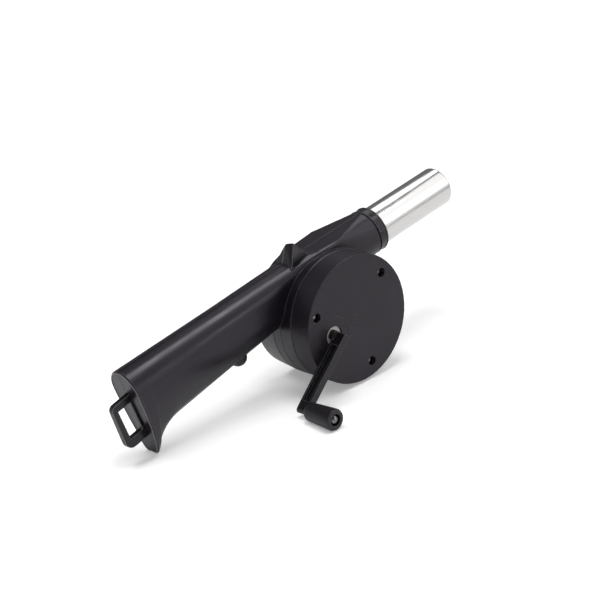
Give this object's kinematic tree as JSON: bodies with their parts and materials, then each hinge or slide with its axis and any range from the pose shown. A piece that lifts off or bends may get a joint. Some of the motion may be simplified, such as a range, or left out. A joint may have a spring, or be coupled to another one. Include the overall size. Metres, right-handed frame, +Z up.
{
  "type": "hand-cranked forge blower",
  "caption": "Hand-cranked blower: straight moulded handle, round fan drum with a geared crank and turning knob, thumb stop, steel nozzle tube and lanyard loop.",
  "frame": {"origin": "on the table under the middle of the blower's bounding box", "axes": "+X along the nozzle's length as it lies on a table, +Y to the side away from the crank, +Z up"},
  "size_m": [0.274, 0.0862, 0.0975],
  "materials": {
    "housing_black": "fine-grained moulded black plastic, satin on the handle",
    "crank_black": "smooth moulded black plastic",
    "fan_black": "plain moulded plastic",
    "natural_nylon": "undyed moulded gear plastic",
    "bronze": "plain turned bronze",
    "plated_steel": "bright zinc plate",
    "stainless_steel": "polished thin stainless tube with a faint lengthwise grain"
  },
  "bodies": {
    "housing": {"housing_right": "housing_black", "housing_left": "housing_black", "gear_cover": "housing_black", "idler_axle": "plated_steel", "front_bush": "bronze", "rear_bush": "bronze", "nozzle_tube": "stainless_steel", "nozzle_collar": "crank_black", "lanyard_loop": "crank_black", "body_screw_1": "plated_steel", "body_screw_2": "plated_steel", "body_screw_3": "plated_steel", "body_screw_4": "plated_steel", "cover_screw_1": "plated_steel", "cover_screw_2": "plated_steel", "cover_screw_3": "plated_steel"},
    "crank": {"crank_arm": "crank_black", "drive_gear": "natural_nylon", "knob_screw": "plated_steel"},
    "knob": {"crank_knob": "crank_black"},
    "idler": {"idler_gear": "natural_nylon"},
    "fan": {"impeller": "fan_black", "impeller_shaft": "plated_steel", "impeller_pinion": "bronze"}
  },
  "joints": [
    {"name": "crank_spin", "type": "hinge", "parent": "housing", "child": "crank", "pos_m": [0.00671, -0.00914, 0.0379], "axis": [0.0078, 0.9987, -0.0507], "continuous": true},
    {"name": "knob_spin", "type": "hinge", "parent": "crank", "child": "knob", "pos_m": [-0.02812, -0.01992, 0.00559], "axis": [0.0078, 0.9987, -0.0507], "continuous": true},
    {"name": "idler_spin", "type": "hinge", "parent": "housing", "child": "idler", "pos_m": [0.01931, -0.0099, 0.02479], "axis": [0.0078, 0.9987, -0.0507], "continuous": true},
    {"name": "fan_spin", "type": "hinge", "parent": "housing", "child": "fan", "pos_m": [0.02638, -0.00911, 0.04154], "axis": [0.0078, 0.9987, -0.0507], "continuous": true}
  ],
  "couplings": [
    {"joint": "idler_spin", "follows": "crank_spin", "ratio": -3.3333},
    {"joint": "fan_spin", "follows": "crank_spin", "ratio": 11.111}
  ]
}
